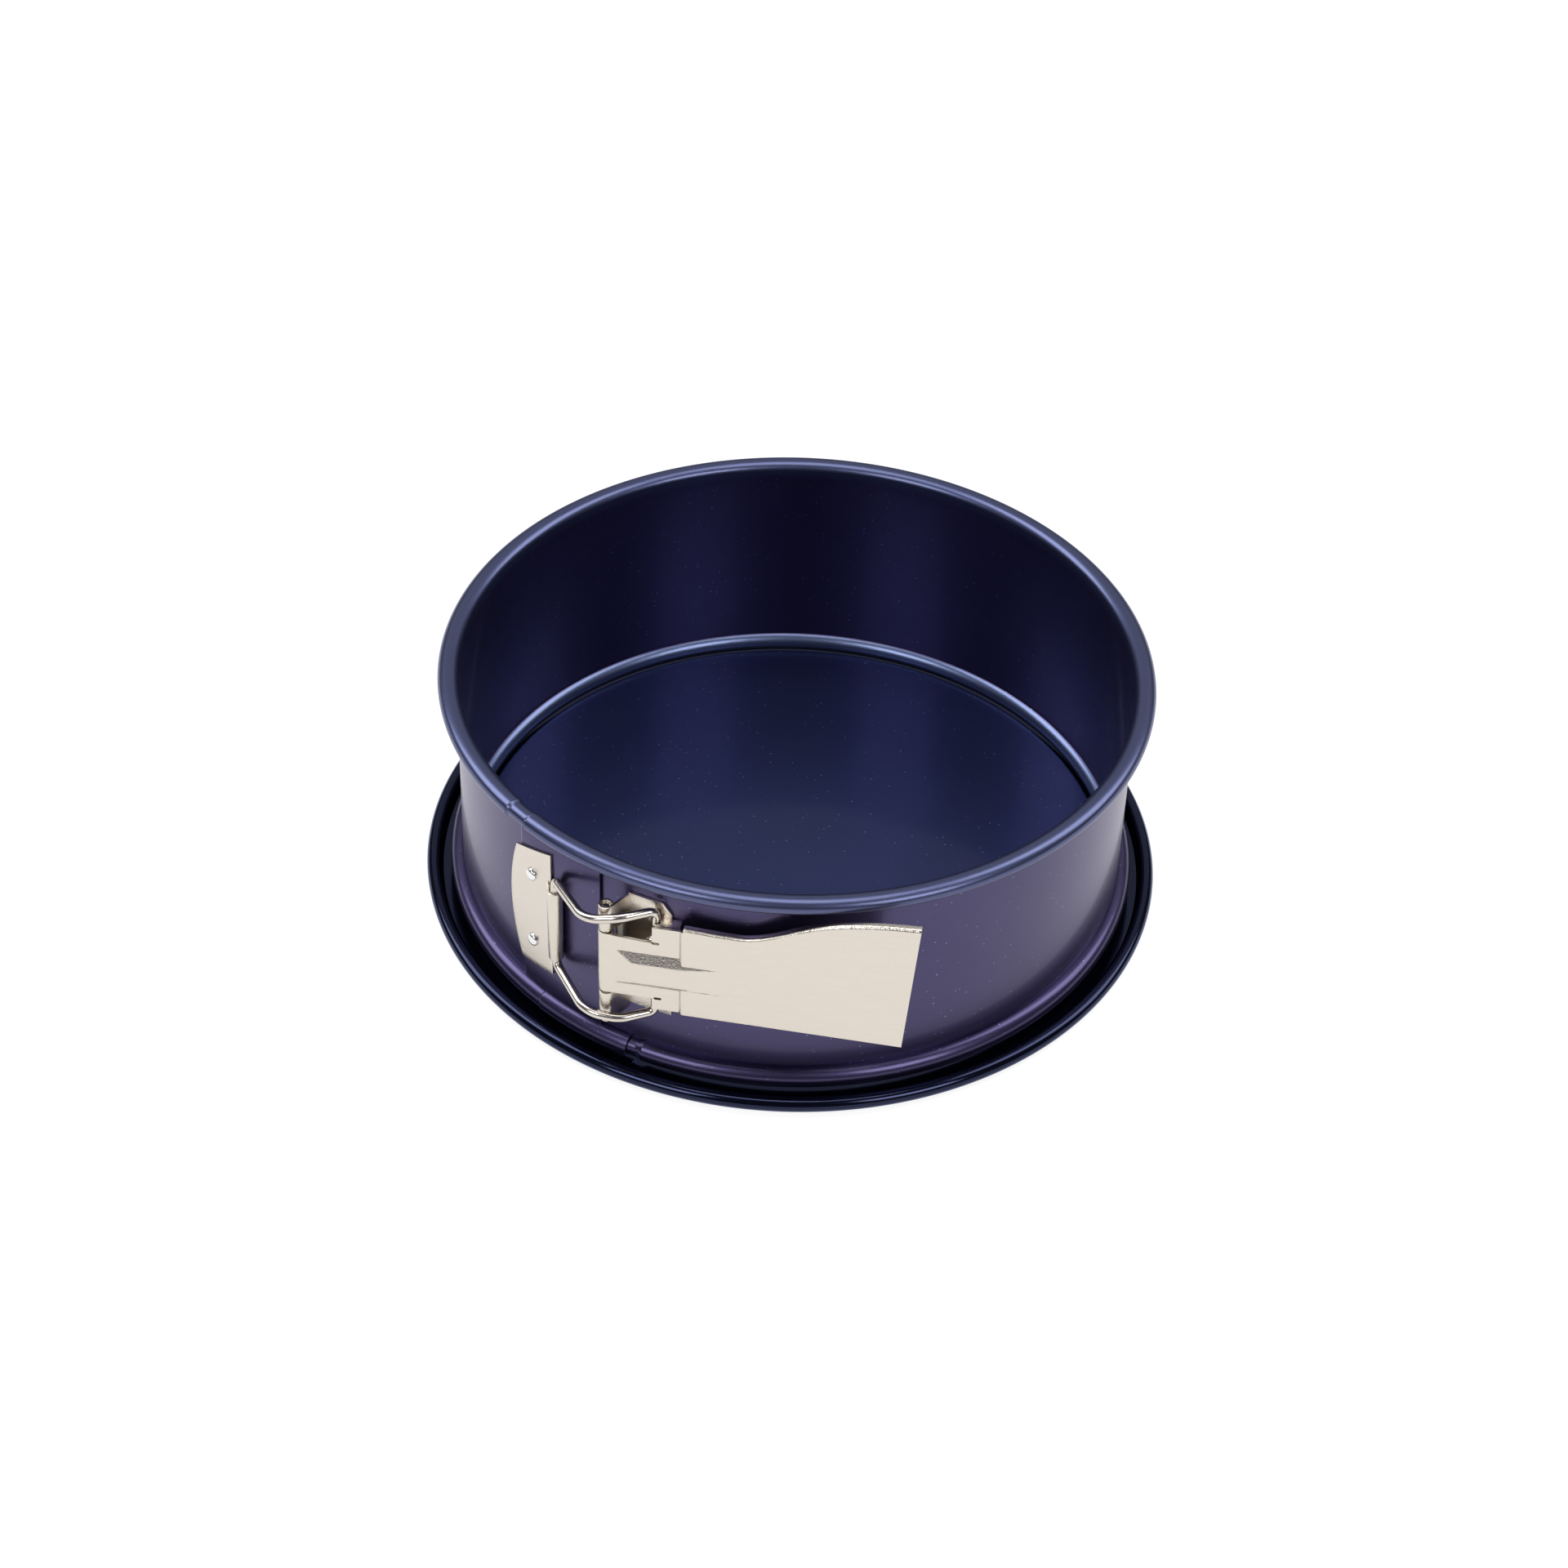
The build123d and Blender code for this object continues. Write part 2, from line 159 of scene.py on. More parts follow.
def arc(centre, radius, start, end, steps):
    # points of an arc in the upright section plane, angles in degrees from outwards
    points = []
    for step in range(steps + 1):
        turn = math.radians(start + (end - start) * step / steps)
        points.append((centre[0] + radius * math.cos(turn), 0, centre[1] + radius * math.sin(turn)))
    return points


def spinBand(name, points, start, end, perDegree=1.0):
    # a section spun round the band's axis from one azimuth to another
    piece = chain(name, points)
    editAll(piece)
    steps = max(2, round(abs(end - start) * perDegree))
    bpy.ops.mesh.spin(steps=steps, angle=-math.radians(end - start), center=(0, 0, 0), axis=(0, 0, 1))
    leaveEdit()
    piece.data.transform(Matrix.Rotation(math.radians(start - 90), 4, "Z"))
    return piece


def pointOut(piece):
    editAll(piece)
    bpy.ops.mesh.remove_doubles(threshold=0.002)
    bpy.ops.mesh.normals_make_consistent(inside=False)
    leaveEdit()


def bevelEdges(piece, width, segments):
    sharp = math.radians(50)
    modify(piece, "BEVEL", width=width, segments=segments, limit_method="ANGLE", angle_limit=sharp)


def thicken(piece, sheet, bevel=0.0):
    pointOut(piece)
    modify(piece, "SOLIDIFY", thickness=sheet, offset=0, use_even_offset=True)
    if bevel:
        bevelEdges(piece, bevel, 2)


def joined(name, pieces):
    clearSelection()
    for piece in pieces:
        piece.select_set(True)
    bpy.context.view_layer.objects.active = pieces[0]
    bpy.ops.object.join()
    pieces[0].name = name
    pieces[0].data.name = name
    return pieces[0]


def finishPiece(piece, material, body=None, nodes=(), smooth=40):
    makeActive(piece)
    bpy.ops.object.transform_apply(location=True, rotation=True, scale=True)
    piece.data.transform(Matrix.Scale(mm, 4))
    bpy.ops.object.shade_smooth_by_angle(angle=math.radians(smooth))
    piece.data.materials.clear()
    piece.data.materials.append(material)
    if body:
        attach(piece, body)
    if nodes:
        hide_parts(*nodes)
    print(piece.name, "finished with", len(piece.data.polygons), "faces")
    return piece


# Shader maths written as expressions
class Wire:
    def __init__(self, tree, socket):
        self.tree = tree
        self.socket = socket

    def maths(self, operation, *others):
        return addNode(self.tree, "ShaderNodeMath", {"operation": operation}, [self, *others])

    def __add__(self, other):
        return self.maths("ADD", other)

    def __radd__(self, other):
        return self.maths("ADD", other)

    def __sub__(self, other):
        return self.maths("SUBTRACT", other)

    def __rsub__(self, other):
        return addNode(self.tree, "ShaderNodeMath", {"operation": "SUBTRACT"}, [other, self])

    def __mul__(self, other):
        return self.maths("MULTIPLY", other)

    def __rmul__(self, other):
        return self.maths("MULTIPLY", other)

    def __gt__(self, other):
        return self.maths("GREATER_THAN", other)


def addNode(tree, kind, settings=None, sockets=None, output=0):
    # a node with its settings made first, then the values or wires of its sockets
    node = tree.nodes.new(kind)
    for name, value in (settings or {}).items():
        setattr(node, name, value)
    pairs = sockets.items() if isinstance(sockets, dict) else enumerate(sockets or [])
    for name, value in pairs:
        if isinstance(value, Wire):
            tree.links.new(value.socket, node.inputs[name])
        else:
            node.inputs[name].default_value = value
    return Wire(tree, node.outputs[output]) if node.outputs else None


def newMaterial(name):
    material = bpy.data.materials.new(name)
    material.use_nodes = True
    tree = material.node_tree
    tree.nodes.clear()
    return material, tree


def shine(tree, sockets):
    surface = addNode(tree, "ShaderNodeBsdfPrincipled", {}, sockets)
    addNode(tree, "ShaderNodeOutputMaterial", {}, {"Surface": surface})


def objectPlace(tree):
    return addNode(tree, "ShaderNodeTexCoord", output=3)


def mixColours(tree, factor, first, second):
    sockets = {"Factor": factor, 6: first, 7: second}
    return addNode(tree, "ShaderNodeMix", {"data_type": "RGBA"}, sockets, output=2)


def noise(tree, place, scale, detail):
    sockets = {"Vector": place, "Scale": scale, "Detail": detail}
    return addNode(tree, "ShaderNodeTexNoise", {}, sockets)


def smoothRange(tree, value, low, high, atLow, atHigh):
    settings = {"interpolation_type": "SMOOTHSTEP"}
    return addNode(tree, "ShaderNodeMapRange", settings, [value, low, high, atLow, atHigh])


def bumped(tree, height, strength, depth):
    sockets = {"Strength": strength, "Distance": depth, "Height": height}
    return addNode(tree, "ShaderNodeBump", {}, sockets)


coating = {
    "cloudScale": 55.0,
    "cloudShare": 0.45,
    "grainScale": 2600.0,
    "grainShare": 0.55,
    "grainRoughness": 0.10,
    "grainDepth": 0.00004,
    "grainStrength": 0.10,
    "flakeScale": 3200.0,
    "flakeShare": 0.35,
    "flakeColour": (0.40, 0.45, 0.65),
    # painted shade laid over the tray's channel and rolled rim, and how much of it
    "outerPaintedShade": (0.004, 0.005, 0.012),
    "outerPaintedShadeShare": 0.75,
    "glossySmooth": 0.65,
    "metallic": 0.92,
    "coatRoughness": 0.10,
}


def coatingMaterial(name, look, glossAndShadeFrom=1.0):
    # metallic non-stick coating: soft mottling, fine pearl grain and a few bright flakes
    # past the given radius, in metres, it is smoother, and its colour is darkened as painted shade over
    # the channel between band and tray and over the tray's rolled rim
    material, tree = newMaterial(name)
    place = objectPlace(tree)
    level = addNode(tree, "ShaderNodeVectorMath", {"operation": "MULTIPLY"}, [place, (1, 1, 0)])
    radius = addNode(tree, "ShaderNodeVectorMath", {"operation": "LENGTH"}, [level], output=1)
    outside = radius > glossAndShadeFrom
    cloud = noise(tree, place, coating["cloudScale"], 3.0)
    grain = noise(tree, place, coating["grainScale"], 2.0)
    sockets = {"Vector": place, "Scale": coating["flakeScale"]}
    cells = addNode(tree, "ShaderNodeTexVoronoi", {}, sockets, output=1)
    luck = addNode(tree, "ShaderNodeSeparateColor", {}, [cells])
    flake = luck > 1 - look["flakes"]
    blend = cloud * coating["cloudShare"] + grain * coating["grainShare"]
    colour = mixColours(tree, blend, (*look["deep"], 1), (*look["light"], 1))
    colour = mixColours(tree, flake * coating["flakeShare"], colour, (*coating["flakeColour"], 1))
    # painted shade: outside that radius the colour goes nearly black
    colour = mixColours(tree, outside * coating["outerPaintedShadeShare"], colour, (*coating["outerPaintedShade"], 1))
    if "rolled" in look:
        # painted highlight: the rolled rim on top and the hem's bulge inside are lightened to a steel
        # blue, standing in for the overhead light they catch
        height = addNode(tree, "ShaderNodeSeparateXYZ", {}, [place], output=2)
        top = smoothRange(tree, height, look["rimHighlightFrom"], look["rimHighlightFull"], 0.0, look["rimHighlightShare"])
        inside = smoothRange(tree, radius, look["bulgeHighlightFull"], look["bulgeHighlightFrom"], 1.0, 0.0)
        colour = mixColours(tree, top, colour, (*look["rolled"], 1))
        colour = mixColours(tree, inside, colour, (*look["rolledInside"], 1))
    bump = bumped(tree, grain * (1 - outside), coating["grainStrength"], coating["grainDepth"])
    dullest = look["roughness"] - coating["grainRoughness"] / 2
    rough = grain * coating["grainRoughness"] + dullest
    shine(tree, {
        "Base Color": colour,
        "Metallic": coating["metallic"],
        "Roughness": rough * (1 - outside * coating["glossySmooth"]),
        "Specular Tint": (*look["tint"], 1),
        "Coat Weight": look["coat"],
        "Coat Roughness": coating["coatRoughness"],
        "Normal": bump,
    })
    return material


steel = {
    "streakScale": 900.0,
    "streakShare": 0.4,
    "streakRoughness": 0.06,
    "pitScale": 2800.0,
    "pitShare": 0.6,
    "pitDepth": 0.0001,
    "dullShare": 0.86,
}


def steelMaterial(name, colour, roughness, grainAlong, strength):
    # satin sheet metal with a fine drawn grain along one direction and small dark pits
    material, tree = newMaterial(name)
    place = objectPlace(tree)
    stretched = addNode(tree, "ShaderNodeMapping", {}, {"Vector": place, "Scale": grainAlong})
    streaks = noise(tree, stretched, steel["streakScale"], 4.0)
    pits = noise(tree, place, steel["pitScale"], 2.0)
    dull = tuple(steel["dullShare"] * part for part in colour)
    blend = streaks * steel["streakShare"] + pits * steel["pitShare"]
    shine(tree, {
        "Base Color": mixColours(tree, blend, (*dull, 1), (*colour, 1)),
        "Metallic": 1.0,
        "Roughness": streaks * steel["streakRoughness"] + (roughness - steel["streakRoughness"] / 2),
        "Normal": bumped(tree, pits, strength, steel["pitDepth"]),
    })
    return material


bandLook = {
    "deep": (0.041, 0.037, 0.098),
    "light": (0.074, 0.059, 0.140),
    # painted highlight: steel blue laid on the top of the rim and on the hem's bulge inside
    "rolled": (0.088, 0.108, 0.210),
    "rolledInside": (0.13, 0.165, 0.30),
    "rimHighlightFrom": 0.0642,  # metres above the table
    "rimHighlightFull": 0.0680,
    "rimHighlightShare": 0.75,
    "bulgeHighlightFrom": 0.0899,  # metres from the axis
    "bulgeHighlightFull": 0.0894,
    "roughness": 0.33,
    "tint": (0.96, 0.95, 1.0),
    "flakes": 0.002,
    "coat": 0.22,
}
trayLook = {
    "deep": (0.024, 0.034, 0.108),
    "light": (0.041, 0.053, 0.152),
    "roughness": 0.38,
    "tint": (0.75, 0.80, 1.0),
    "flakes": 0.002,
    "coat": 0.22,
}
bandFinish = coatingMaterial("deepBlueCoating", bandLook)
# past 88.4 mm the tray is smoother and darkened with painted shade over the channel and rolled rim
trayFinish = coatingMaterial("glossyBlueCoating", trayLook, glossAndShadeFrom=0.0884)
# colour, roughness, grain's scale along each axis, strength of the pits
sheetFinish = steelMaterial("satinNickelSheet", (0.69, 0.632, 0.560), 0.24, (0.15, 0.15, 1.0), 0.8)
wireFinish = steelMaterial("brightNickelWire", (0.66, 0.61, 0.55), 0.22, (1.0, 1.0, 0.2), 0.015)
rivetFinish = steelMaterial("brightRivetSteel", (0.84, 0.84, 0.84), 0.24, (1.0, 1.0, 1.0), 0.015)
print("materials made")


# The band: wall with a rolled rim above and a rolled hem below, spun round its axis
band = {
    "sheet": 0.6,
    "wallRadius": 90.3,  # middle of the sheet
    "rimCentre": (92.8, rimTop - 2.3),
    "rimHalf": (2.5, 2.0),  # half width and half height of the oval roll
    "hemCentre": (90.95, 5.7),
    "hemRadius": 2.75,
    "wallBottom": 8.38,
    "lapBottom": 9.1,
    "rightSeam": 90.0,  # azimuths where the front pieces meet the piece behind
    "leftSeam": -90.0,
    "innerEnd": -43.8,
    "outerEnd": -31.6,
    "rimJoint": -45.2,
    "hemJoint": -25.9,
    "joggle": -48.9,
    "joggleTurn": 0.9,
    "joggleStep": 0.9,
    "tongueTop": 64.5,
    "tongueBevel": 0.1,
    "bendReach": 25.0,
    # hem ends: azimuth where the change starts, azimuth of the end, radius there, degrees of change
    "hemNeck": (-23.4, -31.0, 2.15, 1.2),
    "hemFlare": (-43.9, -26.1, 2.95, 0.35),
    # rim end inside its neighbour: share of the rim's size, azimuth of its end
    "thinRim": (0.835, -42.0),
    "thinRimFlare": (0.197, 0.6),  # change of scale at its start, degrees of change
    "thinRimNeck": (0.22, 0.5, 0.4),  # the same in the neighbour's rim, and how far ahead of it
}
closeSteps = 4  # steps per degree where a section changes along the band


def rimArc(share=1.0, steps=28):
    across, up = band["rimCentre"]
    wide, tall = band["rimHalf"]
    turns = arc((0, 0), share, 180, -90, steps)
    return [(across + x * wide, 0, up + z * tall) for x, y, z in turns]


def hemArc(steps=34):
    return arc(band["hemCentre"], band["hemRadius"], 103, -252, steps)


def wallLine(bottom):
    radius = band["wallRadius"]
    top = band["rimCentre"][1]
    heights = [bottom + (top - bottom) * share for share in (0, 0.04, 0.25, 0.5, 0.75, 0.92)]
    return [(radius, 0, height) for height in heights]


def bandStretch(name, start, end):
    wall = spinBand(name, wallLine(band["wallBottom"]) + rimArc(), start, end)
    hem = spinBand(name, hemArc(), start, end)
    for strip in (wall, hem):
        thicken(strip, band["sheet"])
    return [wall, hem]


def changingHem(start, end, endRadius, turn):
    # hem that narrows to go inside its neighbour, or widens to go round it
    strip = spinBand("hemEnd", hemArc(), start, end, closeSteps)
    centre = band["hemCentre"]
    for vertex in strip.data.vertices:
        azimuth, radius = azimuthAndRadius(vertex.co.x, vertex.co.y)
        share = ease((start - azimuth) / turn) if start > end else ease((azimuth - start) / turn)
        scale = 1 + (endRadius / band["hemRadius"] - 1) * share
        place = onBand(azimuth, centre[0] + (radius - centre[0]) * scale)
        vertex.co = (place.x, place.y, centre[1] + (vertex.co.z - centre[1]) * scale)
    thicken(strip, band["sheet"])
    return strip


def makeBandRight():
    section = wallLine(band["wallBottom"]) + rimArc()
    wall = spinBand("bandFrontRight", section, band["innerEnd"], band["rightSeam"])
    for vertex in wall.data.vertices:
        azimuth, radius = azimuthAndRadius(vertex.co.x, vertex.co.y)
        if azimuth < band["hemJoint"] and vertex.co.z < band["lapBottom"]:
            vertex.co.z = band["lapBottom"]
    rimEnd = spinBand("rimEnd", rimArc(), band["rimJoint"], band["innerEnd"])
    hem = spinBand("hem", hemArc(), band["hemNeck"][0], band["rightSeam"])
    for strip in (wall, rimEnd, hem):
        thicken(strip, band["sheet"])
    neck = changingHem(*band["hemNeck"])
    piece = joined("bandFrontRight", [wall, rimEnd, hem, neck])
    return finishPiece(piece, bandFinish, "ring_right", ["band_right"])


def makeBandBack():
    strips = bandStretch("bandBack", band["rightSeam"], band["leftSeam"] + 360)
    piece = joined("bandBack", strips)
    finishPiece(piece, bandFinish)
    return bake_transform(piece)


def makeBandLeft():
    lap = band["joggle"] - band["joggleTurn"]
    strips = bandStretch("bandFrontLeft", band["leftSeam"], lap)
    heights = (band["wallBottom"], 12, 25, 40, 55, band["tongueTop"])
    line = [(band["wallRadius"], 0, height) for height in heights]
    tongue = spinBand("tongue", line, lap, band["outerEnd"], closeSteps)
    for vertex in tongue.data.vertices:
        azimuth, radius = azimuthAndRadius(vertex.co.x, vertex.co.y)
        step = ease((azimuth - lap) / band["joggleTurn"])
        place = onBand(azimuth, radius + band["joggleStep"] * step)
        vertex.co = (place.x, place.y, vertex.co.z)
    share, rimEnd = band["thinRim"]
    flare, flareTurn = band["thinRimFlare"]
    neck, neckTurn, ahead = band["thinRimNeck"]
    thinRim = spinBand("thinRim", rimArc(share), lap, rimEnd, closeSteps)
    centre = band["rimCentre"]
    for vertex in thinRim.data.vertices:
        azimuth, radius = azimuthAndRadius(vertex.co.x, vertex.co.y)
        scale = 1 + flare * (1 - ease((azimuth - lap) / flareTurn))
        scale = scale - neck * ease((azimuth - band["rimJoint"] + ahead) / neckTurn)
        place = onBand(azimuth, centre[0] + (radius - centre[0]) * scale)
        vertex.co = (place.x, place.y, centre[1] + (vertex.co.z - centre[1]) * scale)
    hem = spinBand("hemLeft", hemArc(), lap, band["hemFlare"][0])
    wideHem = changingHem(*band["hemFlare"])
    thicken(tongue, band["sheet"], band["tongueBevel"])
    for strip in (thinRim, hem):
        thicken(strip, band["sheet"])
    piece = joined("bandFrontLeft", [*strips, tongue, thinRim, hem, wideHem])
    return finishPiece(piece, bandFinish, "ring_left", ["band_left"])


# The tray base, one section spun all the way round
tray = {
    "sheet": 0.6,
    "plateauHeight": 4.3,  # middles of the sheet
    "riserRadius": 87.2,
    "floorHeight": 0.3,
    "wallRadius": 97.0,
    "rollCentre": (trayHigh.x - 2.0, 2.9),
    "rollRadius": 1.7,
    "bend": 0.9,
    "perDegree": 0.75,  # steps of its spin
}


def makeTray():
    bend = tray["bend"]
    riser = tray["riserRadius"]
    plateau = tray["plateauHeight"]
    floor = tray["floorHeight"]
    wall = tray["wallRadius"]
    points = [(radius, 0, plateau) for radius in (0, 20, 45, 70, riser - 3)]
    points += arc((riser - bend, plateau - bend), bend, 90, 0, 6)
    points += arc((riser + bend, floor + bend), bend, 180, 270, 6)
    points += arc((wall - bend, floor + bend), bend, 270, 360, 6)
    points += arc(tray["rollCentre"], tray["rollRadius"], 180, -90, 30)
    piece = spinBand("trayBase", points, 0, 360, tray["perDegree"])
    thicken(piece, tray["sheet"])
    return finishPiece(piece, trayFinish, "base", ["base_plate"])


makeBandRight()
makeBandBack()
makeBandLeft()
makeTray()
print("band and tray made")


# Latch fittings
def spans(*stops):
    # places along a line: a start, then (end, how many steps to it)
    places = [stops[0]]
    for end, steps in stops[1:]:
        start = places[-1]
        places += [start + (end - start) * (step + 1) / steps for step in range(steps)]
    return places


def gridOver(name, columns, rows, shape):
    # a grid whose vertices go where shape(column, row) says
    across, up = len(columns) - 1, len(rows) - 1
    clearSelection()
    bpy.ops.mesh.primitive_grid_add(x_subdivisions=across, y_subdivisions=up, size=1)
    piece = bpy.context.object
    piece.name = name
    for vertex in piece.data.vertices:
        column = columns[round((vertex.co.x + 0.5) * across)]
        row = rows[round((vertex.co.y + 0.5) * up)]
        vertex.co = shape(column, row)
    return piece


def uprightStrip(name, points, bottom, top):
    # a sheet that stands on a line drawn in plan
    piece = chain(name, [(*point[:2], bottom) for point in points])
    editAll(piece)
    bpy.ops.mesh.extrude_region_move(TRANSFORM_OT_translate={"value": (0, 0, top - bottom)})
    leaveEdit()
    return piece


def tangentFrom(point, centre, radius, side):
    # angle at which the line from a point touches a circle in plan
    gap = Vector((point.x - centre.x, point.y - centre.y))
    return math.atan2(gap.y, gap.x) + side * math.acos(radius / gap.length)


def arcInPlan(centre, radius, start, turn, steps):
    points = []
    for step in range(steps + 1):
        angle = start + math.radians(turn) * step / steps
        points.append((centre.x + radius * math.cos(angle), centre.y + radius * math.sin(angle)))
    return points


keeper = {
    "sheet": 0.7,
    "radius": 91.9,
    "azimuth": -46.5,
    "rightEdge": 8.15,  # along the plate from its middle
    "bow": (-4.1, -8.2, -5.3),  # left edge at the bottom, the middle and the top
    "bottom": (16.3, 17.8),
    "top": (54.7, 59.2),
    "foldAzimuth": -42.3,
    "curlBottom": 27.0,
    "curlTop": 49.9,
    "curlRadius": 1.62,
    "curlTurn": 265.0,
    "leadTurn": 1.0,  # flat part before the curl, in degrees of azimuth
    "edgeBevel": 0.12,
}


def makeKeeper():
    low, middle, high = keeper["bow"]

    def shape(across, up):
        left = (1 - up) * low + up * high + (middle - (low + high) / 2) * 4 * up * (1 - up)
        along = left + (keeper["rightEdge"] - left) * across
        bottom = keeper["bottom"][0] + (keeper["bottom"][1] - keeper["bottom"][0]) * across
        top = keeper["top"][0] + (keeper["top"][1] - keeper["top"][0]) * across
        azimuth = keeper["azimuth"] + math.degrees(along / keeper["radius"])
        return onBand(azimuth, keeper["radius"], bottom + (top - bottom) * up)

    plate = gridOver("keeperSheet", spans(0, (1, 16)), spans(0, (1, 24)), shape)
    fold = onBand(keeper["foldAzimuth"], keeper["radius"])
    lead = onBand(keeper["foldAzimuth"] - keeper["leadTurn"], keeper["radius"])
    start = tangentFrom(fold, legPlace, keeper["curlRadius"], 1)
    points = [lead, fold] + arcInPlan(legPlace, keeper["curlRadius"], start, keeper["curlTurn"], 22)
    curl = uprightStrip("keeperCurl", points, keeper["curlBottom"], keeper["curlTop"])
    for sheet in (plate, curl):
        thicken(sheet, keeper["sheet"], keeper["edgeBevel"])
    piece = joined("keeperPlate", [plate, curl])
    return finishPiece(piece, sheetFinish, "ring_left", ["keeper_plate"])


bracket = {
    "sheet": 0.7,
    "radius": 91.0,
    "left": -26.3,
    "right": -18.7,
    "bottom": 21.4,
    "top": 59.3,
    "slant": (9.0, 3.2),  # the top edge falls towards its right end: length, drop
    "knuckleRadius": 1.62,
    "knuckles": ((19.8, 29.3), (50.7, 58.8)),
    "knuckleTurn": -318.0,
    "webShare": 0.7,  # how far the web between the knuckles reaches towards the barrel
    "edgeBevel": 0.12,
}


def makeBracket():
    def shape(azimuth, height):
        return onBand(azimuth, bracket["radius"], height)

    right, radius, top = bracket["right"], bracket["radius"], bracket["top"]
    columns = spans(bracket["left"], (right, 14))
    rows = spans(bracket["bottom"], (top, 10))
    plate = gridOver("bracketPlate", columns, rows, shape)
    length, drop = bracket["slant"]
    slantEnd = onBand(right, radius, top - drop)
    slantLine = slantEnd - onBand(right - math.degrees(length / radius), radius, top)
    editAll(plate)
    bpy.ops.mesh.bisect(plane_co=slantEnd, plane_no=onBand(right, 1).cross(slantLine), clear_outer=True)
    leaveEdit()
    sheets = [plate]
    edge = onBand(bracket["left"], radius)
    barrel = bracket["knuckleRadius"]
    start = tangentFrom(edge, pinPlace, barrel, -1)
    points = [edge] + arcInPlan(pinPlace, barrel, start, bracket["knuckleTurn"], 26)
    for bottom, top in bracket["knuckles"]:
        sheets.append(uprightStrip("knuckle", points, bottom, top))
    webEnd = edge.lerp(Vector((*points[1], 0)), bracket["webShare"])
    (_, webBottom), (webTop, _) = bracket["knuckles"]
    sheets.append(uprightStrip("web", [edge, webEnd], webBottom, webTop))
    for sheet in sheets:
        thicken(sheet, bracket["sheet"], bracket["edgeBevel"])
    piece = joined("hingeBracket", sheets)
    return finishPiece(piece, sheetFinish, "ring_right", ["hinge_bracket"])


# radius, height of the dome, height of the straight edge
rivet = {"head": (1.8, 0.8, 0.3), "tail": (1.4, 0.3, 0.1)}


def makeRivet(node, body, seat):
    # domed head outside, low round tail inside the band
    low, high = boxOf(node)
    middle = (low + high) / 2
    azimuth = azimuthAndRadius(middle.x, middle.y)[0]
    turned = Matrix.Rotation(math.radians(azimuth), 4, "Z") @ Matrix.Rotation(math.radians(90), 4, "X")
    halves = []
    inside = band["wallRadius"] - band["sheet"] / 2
    for radius, (width, dome, edge), side in ((seat, rivet["head"], 1), (inside, rivet["tail"], -1)):
        clearSelection()
        bpy.ops.mesh.primitive_uv_sphere_add(segments=36, ring_count=18, radius=1)
        half = bpy.context.object
        editAll(half)
        bpy.ops.mesh.bisect(plane_co=(0, 0, 0), plane_no=(0, 0, 1), clear_inner=True, use_fill=True)
        leaveEdit()
        half.data.transform(Matrix.Translation((0, 0, edge)) @ Matrix.Diagonal((width, width, dome, 1)))
        editOnly(half, lambda place: place.z < edge + 0.001, "FACE")
        bpy.ops.mesh.extrude_region_move(TRANSFORM_OT_translate={"value": (0, 0, -edge)})
        leaveEdit()
        half.data.transform(Matrix.Diagonal((1, 1, side, 1)))
        half.data.transform(turned)
        half.data.transform(Matrix.Translation(onBand(azimuth, radius, middle.z)))
        pointOut(half)
        halves.append(half)
    words = node.split("_")
    piece = joined(words[0] + "Rivet" + words[2].title(), halves)
    return finishPiece(piece, rivetFinish, body, [node], smooth=50)


pin = {"radius": 1.2, "head": 1.7, "headHeight": 0.8, "edgeBevel": 0.3}


def makePin():
    low, high = boxOf("hinge_pin")
    headTop = low.z + pin["headHeight"]
    parts = []
    for radius, bottom, top in ((pin["radius"], headTop, high.z), (pin["head"], low.z, headTop)):
        clearSelection()
        middle = (pinPlace.x, pinPlace.y, (bottom + top) / 2)
        depth = top - bottom
        bpy.ops.mesh.primitive_cylinder_add(vertices=40, radius=radius, depth=depth, location=middle)
        part = bpy.context.object
        makeActive(part)
        bpy.ops.object.transform_apply(location=True, rotation=True, scale=True)
        bevelEdges(part, pin["edgeBevel"], 3)
        parts.append(part)
    piece = joined("hingePin", parts)
    return finishPiece(piece, wireFinish, "ring_right", ["hinge_pin"])


